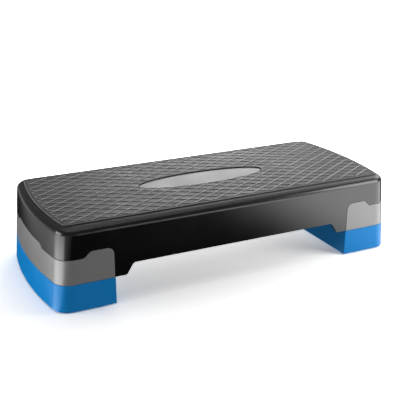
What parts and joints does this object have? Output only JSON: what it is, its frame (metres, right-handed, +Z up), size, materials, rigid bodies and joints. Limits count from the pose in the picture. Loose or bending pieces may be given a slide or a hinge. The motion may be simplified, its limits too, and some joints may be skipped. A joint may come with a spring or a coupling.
{
  "type": "aerobic step platform",
  "caption": "Low exercise step with a ridged non-slip top, hollow underside, wrap-around leg covers and a lift-off riser block at each end.",
  "frame": {"origin": "centre of the base, on the floor, midway between the two risers", "axes": "+X along the length, +Y across the width, +Z up through the tread"},
  "size_m": [0.6998, 0.3, 0.15],
  "materials": {
    "deck_plastic": "fine-grained moulded polypropylene, satin",
    "tread_rubber": "matt, with raised diagonal ridges",
    "emblem_plastic": "satin, smooth",
    "cover_plastic": "fine-grained moulded polypropylene, satin",
    "riser_plastic": "moulded polypropylene, satin",
    "foot_rubber": "matt",
    "screw_steel": "zinc plated"
  },
  "bodies": {
    "left_base": {"left_riser": "riser_plastic", "left_riser_foot_1": "foot_rubber", "left_riser_foot_2": "foot_rubber", "left_riser_foot_3": "foot_rubber", "left_riser_foot_4": "foot_rubber"},
    "platform": {"deck_shell": "deck_plastic", "tread_mat": "tread_rubber", "emblem_plate": "emblem_plastic", "left_leg_cover": "cover_plastic", "left_cover_screws": "screw_steel", "left_cover_pad_1": "foot_rubber", "left_cover_pad_2": "foot_rubber", "left_cover_pad_3": "foot_rubber", "left_cover_pad_4": "foot_rubber", "right_leg_cover": "cover_plastic", "right_cover_screws": "screw_steel", "right_cover_pad_1": "foot_rubber", "right_cover_pad_2": "foot_rubber", "right_cover_pad_3": "foot_rubber", "right_cover_pad_4": "foot_rubber"},
    "right_base": {"right_riser": "riser_plastic", "right_riser_foot_1": "foot_rubber", "right_riser_foot_2": "foot_rubber", "right_riser_foot_3": "foot_rubber", "right_riser_foot_4": "foot_rubber"}
  },
  "joints": [
    {"name": "platform_lift", "type": "slide", "parent": "left_base", "child": "platform", "axis": [0, 0, 1], "range_m": [0, 0.06]},
    {"name": "right_base_drop", "type": "slide", "parent": "platform", "child": "right_base", "axis": [0, 0, -1], "range_m": [0, 0.06]}
  ],
  "couplings": [
    {"joint": "right_base_drop", "follows": "platform_lift", "ratio": 1}
  ]
}
